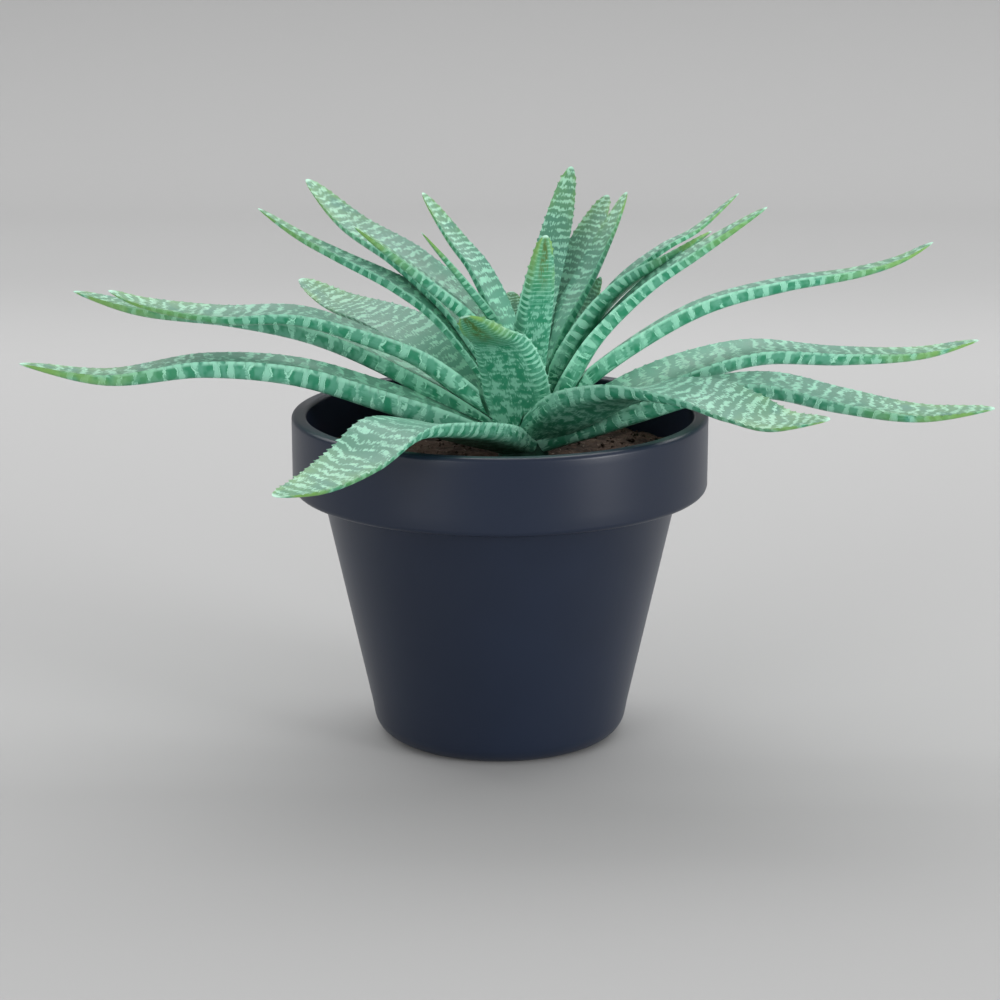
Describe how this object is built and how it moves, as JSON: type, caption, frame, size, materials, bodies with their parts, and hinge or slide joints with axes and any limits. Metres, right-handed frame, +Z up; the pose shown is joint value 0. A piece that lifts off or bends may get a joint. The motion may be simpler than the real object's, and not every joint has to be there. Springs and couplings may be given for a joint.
{
  "type": "potted aloe",
  "caption": "Potted aloe: a rosette of thick, banded, S-bent leaves with toothed margins, in a conical collared pot filled with soil.",
  "frame": {"origin": "centre of the pot's base, on the floor", "axes": "+Z up along the pot's axis, +X to the right and +Y to the back as seen in the source view"},
  "size_m": [0.3254, 0.2121, 0.189],
  "materials": {
    "pot": "satin",
    "soil": "rough",
    "leaf": "satin",
    "stem": "matte"
  },
  "bodies": {
    "root": {"pot": "pot", "soil": "soil", "stem": "stem", "leaf_01": "leaf", "leaf_02": "leaf", "leaf_03": "leaf", "leaf_04": "leaf", "leaf_05": "leaf", "leaf_06": "leaf", "leaf_07": "leaf", "leaf_08": "leaf", "leaf_09": "leaf", "leaf_10": "leaf", "leaf_11": "leaf", "leaf_12": "leaf", "leaf_13": "leaf", "leaf_14": "leaf", "leaf_15": "leaf", "leaf_16": "leaf", "leaf_17": "leaf", "leaf_18": "leaf", "leaf_19": "leaf", "leaf_20": "leaf", "leaf_21": "leaf", "leaf_22": "leaf", "leaf_23": "leaf", "leaf_24": "leaf", "leaf_25": "leaf", "leaf_26": "leaf"}
  },
  "joints": []
}
